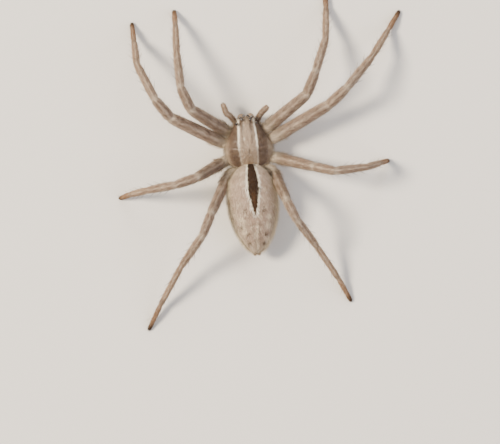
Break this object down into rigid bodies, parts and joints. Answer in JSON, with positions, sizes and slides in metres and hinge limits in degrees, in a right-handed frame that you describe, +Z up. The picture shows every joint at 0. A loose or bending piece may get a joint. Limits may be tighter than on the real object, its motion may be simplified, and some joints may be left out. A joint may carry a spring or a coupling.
{
  "type": "spider",
  "caption": "Life-size running crab spider, a still figure standing with its legs spread, with a dark lance-shaped mark edged in white on its pale abdomen.",
  "frame": {"origin": "on the floor under the middle of the box around the standing spider, level with the soles of its feet", "axes": "+Z up, +Y towards the head, +X towards the spider's right side"},
  "size_m": [0.017, 0.0187, 0.0036],
  "materials": {
    "carapace_cuticle": "hairy cuticle, pale middle band between white lines, broad dark side bands",
    "abdomen_skin": "short pale fur over skin, dark brown lance mark edged in white",
    "belly_cuticle": "pale cuticle with fine hair",
    "leg_cuticle": "pinkish brown cuticle with fine pale fur and dark freckles",
    "foot_cuticle": "warm brown cuticle, darker at the tips",
    "jaw_cuticle": "brown polished cuticle with fine hair",
    "eye_lens": "glossy dark lens"
  },
  "bodies": {
    "root": {"abdomen": "abdomen_skin", "carapace": "carapace_cuticle", "chelicera_left": "jaw_cuticle", "chelicera_right": "jaw_cuticle", "eye_front_middle_left": "eye_lens", "eye_front_middle_right": "eye_lens", "eye_front_side_left": "eye_lens", "eye_front_side_right": "eye_lens", "eye_rear_middle_left": "eye_lens", "eye_rear_middle_right": "eye_lens", "eye_rear_side_left": "eye_lens", "eye_rear_side_right": "eye_lens", "leg_left_1_coxa": "leg_cuticle", "leg_left_1_femur": "leg_cuticle", "leg_left_1_foot": "foot_cuticle", "leg_left_1_patella": "leg_cuticle", "leg_left_1_tibia": "leg_cuticle", "leg_left_2_coxa": "leg_cuticle", "leg_left_2_femur": "leg_cuticle", "leg_left_2_foot": "foot_cuticle", "leg_left_2_patella": "leg_cuticle", "leg_left_2_tibia": "leg_cuticle", "leg_left_3_coxa": "leg_cuticle", "leg_left_3_femur": "leg_cuticle", "leg_left_3_foot": "foot_cuticle", "leg_left_3_patella": "leg_cuticle", "leg_left_3_tibia": "leg_cuticle", "leg_left_4_coxa": "leg_cuticle", "leg_left_4_femur": "leg_cuticle", "leg_left_4_foot": "foot_cuticle", "leg_left_4_patella": "leg_cuticle", "leg_left_4_tibia": "leg_cuticle", "leg_right_1_coxa": "leg_cuticle", "leg_right_1_femur": "leg_cuticle", "leg_right_1_foot": "foot_cuticle", "leg_right_1_patella": "leg_cuticle", "leg_right_1_tibia": "leg_cuticle", "leg_right_2_coxa": "leg_cuticle", "leg_right_2_femur": "leg_cuticle", "leg_right_2_foot": "foot_cuticle", "leg_right_2_patella": "leg_cuticle", "leg_right_2_tibia": "leg_cuticle", "leg_right_3_coxa": "leg_cuticle", "leg_right_3_femur": "leg_cuticle", "leg_right_3_foot": "foot_cuticle", "leg_right_3_patella": "leg_cuticle", "leg_right_3_tibia": "leg_cuticle", "leg_right_4_coxa": "leg_cuticle", "leg_right_4_femur": "leg_cuticle", "leg_right_4_foot": "foot_cuticle", "leg_right_4_patella": "leg_cuticle", "leg_right_4_tibia": "leg_cuticle", "palp_left_arm": "leg_cuticle", "palp_left_tip": "foot_cuticle", "palp_right_arm": "leg_cuticle", "palp_right_tip": "foot_cuticle", "pedicel": "carapace_cuticle", "spinnerets": "foot_cuticle", "sternum": "belly_cuticle"}
  },
  "joints": []
}
